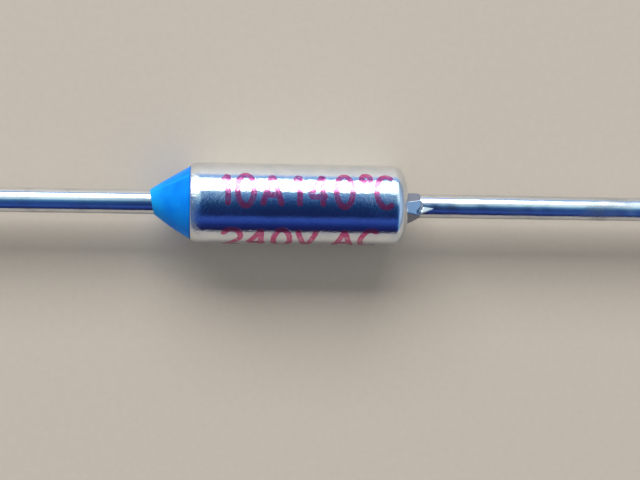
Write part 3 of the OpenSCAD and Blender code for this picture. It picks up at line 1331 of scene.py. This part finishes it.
@dataclass
class Studio:
    """The pale floor, the window light, the room that the metal mirrors, and the camera."""

    floor_half: float = 1500.0
    floor_points: int = 9
    floor_finish: Finish = FloorFinish("pale_table")
    window_near: float = 20.0
    window_far: float = 49.6
    window_distance: float = 900.0
    window_left: float = -37.0
    window_right: float = 17.0
    window_power: float = 9.9
    window_colour: Colour = (1.0, 0.97, 0.93)
    fill: Colour = (0.36, 0.355, 0.35)
    eye: Place = (-4.3, 0.5, 54.0)
    aim: Place = (1.14, -1.77, 0.0)
    roll: float = 0.95
    sensor: float = 36.0
    field_width: float = 32.0
    clip: Pair = (0.001, 50.0)
    pale: Colour = (0.78, 0.77, 0.75)
    seal_wall: ClassVar[tuple[Colour, Colour, Colour]] = (
        (0.171, 0.219, 0.299), (0.087, 0.159, 0.319), (0.246, 0.446, 0.790),
    )
    lead_wall: ClassVar[tuple[Colour, Colour, Colour]] = (
        (0.247, 0.279, 0.335), (0.416, 0.576, 0.800), (0.288, 0.552, 0.888),
    )
    case_room: ClassVar[Stops] = (
        (-88.0, (0.015, 0.012, 0.039)),
        (-75.0, (0.008, 0.011, 0.063)),
        (-60.0, (0.010, 0.024, 0.154)),
        (-48.0, (0.029, 0.071, 0.344)),
        (-38.0, (0.031, 0.072, 0.312)),
        (-36.5, (0.007, 0.016, 0.076)),
        (-25.0, (0.007, 0.015, 0.073)),
        (-5.0, (0.007, 0.024, 0.097)),
        (6.0, (0.012, 0.042, 0.153)),
        (17.0, (0.034, 0.102, 0.303)),
        (29.0, (0.081, 0.235, 0.503)),
        (38.0, (0.361, 0.649, 0.881)),
        (73.0, (0.356, 0.612, 0.916)),
        (88.0, (0.214, 0.398, 0.822)),
    )
    lead_room: ClassVar[Stops] = (
        (-88.0, (0.021, 0.021, 0.061)),
        (-70.0, (0.010, 0.026, 0.142)),
        (-52.0, (0.030, 0.082, 0.322)),
        (-40.0, (0.028, 0.076, 0.296)),
        (-30.0, (0.018, 0.061, 0.253)),
        (-10.0, (0.029, 0.109, 0.309)),
        (3.0, (0.086, 0.246, 0.486)),
        (12.0, (0.417, 0.737, 0.937)),
        (18.0, (0.673, 0.937, 1.017)),
        (30.0, (0.890, 1.090, 1.130)),
        (62.0, (0.791, 0.991, 1.071)),
        (75.0, (0.278, 0.542, 0.862)),
        (88.0, (0.218, 0.426, 0.826)),
    )

    def lay_floor(self) -> None:
        """Lays the floor under the case: a square grid, flat at the case's lowest height."""
        count = self.floor_points
        side = np.linspace(-self.floor_half, self.floor_half, count)
        along, across = np.meshgrid(side, side, indexing="ij")
        level = np.full_like(along, -CASE_R)
        points = np.stack([along, across, level], -1).reshape(-1, 3) * MM
        index = np.arange(count * count).reshape(count, count)
        quads = np.stack([index[:-1, :-1], index[1:, :-1], index[1:, 1:], index[:-1, 1:]], -1)
        mesh = bpy.data.meshes.new("floor")
        mesh.from_pydata(points.tolist(), [], quads.reshape(-1, 4).tolist())
        mesh.materials.append(self.floor_finish.material())
        floor = bpy.data.objects.new("floor", mesh)
        bpy.context.scene.collection.objects.link(floor)

    def hang_window(self) -> None:
        """Hangs the wide window light on the +Y side, facing the fuse."""
        middle = math.radians((self.window_near + self.window_far) / 2.0)
        spread = math.radians((self.window_far - self.window_near) / 2.0)
        lamp = bpy.data.lights.new("window", "AREA")
        lamp.shape = "RECTANGLE"
        left, right = (math.tan(math.radians(side)) for side in (self.window_left, self.window_right))
        lamp.size = self.window_distance * (right - left) * MM
        lamp.size_y = 2.0 * self.window_distance * math.tan(spread) * MM
        lamp.energy = self.window_power
        lamp.color = self.window_colour
        window = bpy.data.objects.new("window", lamp)
        way = Vector((0.0, math.cos(middle), math.sin(middle)))
        window.location = (way + Vector(((left + right) / 2.0, 0.0, 0.0))) * self.window_distance * MM
        window.rotation_euler = (-way).to_track_quat("-Z", "Y").to_euler()
        window.visible_camera = False
        bpy.context.scene.collection.objects.link(window)

    def paint_room(self) -> None:
        """Paints the room round the fuse by direction.

        Two ramps go by the angle from straight up towards +Y, a full turn being 1: one for directions square
        to the case, one for those that lean along it. The wall beyond the seal is bluest on the window's
        side, the wall beyond the case lead in a narrow strip on the near side. All of it pales near the
        horizon. A step's two numbers are parts of the unit direction, between which one colour turns into
        the next.
        """
        world = bpy.data.worlds.new("room")
        world.use_nodes = True
        bpy.context.scene.world = world
        tree = Tree(world.node_tree)
        way = tree.add("ShaderNodeTexCoord", output="Generated")
        x, y, z = (tree.axis(way, name) for name in "XYZ")
        turn = y.angle_with(z) * (0.5 / math.pi) + 0.5
        ramps = [
            tree.ramp(turn, [(degrees / 360.0 + 0.5, colour) for degrees, colour in room])
            for room in (self.case_room, self.lead_room)
        ]
        leaning = abs(x - 0.08).step(0.10, 0.2)
        front = tree.mix(leaning, *ramps)
        low, high, window_side = self.seal_wall
        seal_side = tree.mix(y.step(0.1, 0.5), tree.mix(z.step(0.05, 0.6), low, high), window_side)
        far_low, far_high, near_side = self.lead_wall
        strip = y.step(-0.15, -0.3) * x.step(0.62, 0.58)
        lead_side = tree.mix(strip, tree.mix(z.step(0.05, 0.7), far_low, far_high), near_side)
        beyond_seal, beyond_lead = x.step(-0.3, -0.55), x.step(0.42, 0.6)
        walls = tree.mix(beyond_lead, tree.mix(beyond_seal, front, seal_side), lead_side)
        horizon = z.step(0.06, 0.02)
        whole = tree.mix(horizon, walls, self.pale)
        kinds = ("Camera", "Glossy", "Transmission")
        rays = [tree.add("ShaderNodeLightPath", output=f"Is {kind} Ray") for kind in kinds]
        seen = tree.mix(rays[0] + rays[1] + rays[2], self.fill, whole)
        light = tree.add("ShaderNodeBackground", sockets={"Color": seen, "Strength": 1.0})
        tree.add("ShaderNodeOutputWorld", sockets={"Surface": light})

    def set_camera(self) -> None:
        """Sets the camera over the fuse, towards the seal, and aims it just in front of the axis."""
        eye, aim = Vector(self.eye), Vector(self.aim)
        back = (eye - aim).normalized()
        roll = math.radians(self.roll)
        up = Vector((-math.sin(roll), math.cos(roll), 0.0))
        right = up.cross(back).normalized()
        turn = Matrix((right, back.cross(right), back)).transposed()
        lens = bpy.data.cameras.new("camera")
        lens.sensor_width = self.sensor
        lens.lens = self.sensor * (eye - aim).length / self.field_width
        lens.clip_start, lens.clip_end = self.clip
        camera = bpy.data.objects.new("camera", lens)
        camera.matrix_world = Matrix.Translation(eye * MM) @ turn.to_4x4()
        bpy.context.scene.collection.objects.link(camera)
        bpy.context.scene.camera = camera

    def set_up(self) -> None:
        """Sets up the camera, the floor and the light."""
        bpy.context.scene.view_settings.view_transform = "Standard"
        self.set_camera()
        self.lay_floor()
        self.hang_window()
        self.paint_room()


def main() -> None:
    """Builds each sub-assembly in order, then the studio, and reports each piece."""
    logging.basicConfig(level=logging.INFO, format="%(message)s")
    for assembly in (CaseShell(), CaseLead(), IsolatedLead(), EpoxySeal(), RatingPrint(), InnerWorks()):
        for piece in assembly.make():
            LOG.info("%s: %d faces", piece.name, len(piece.data.polygons))
    Studio().set_up()


if __name__ == "__main__":
    main()
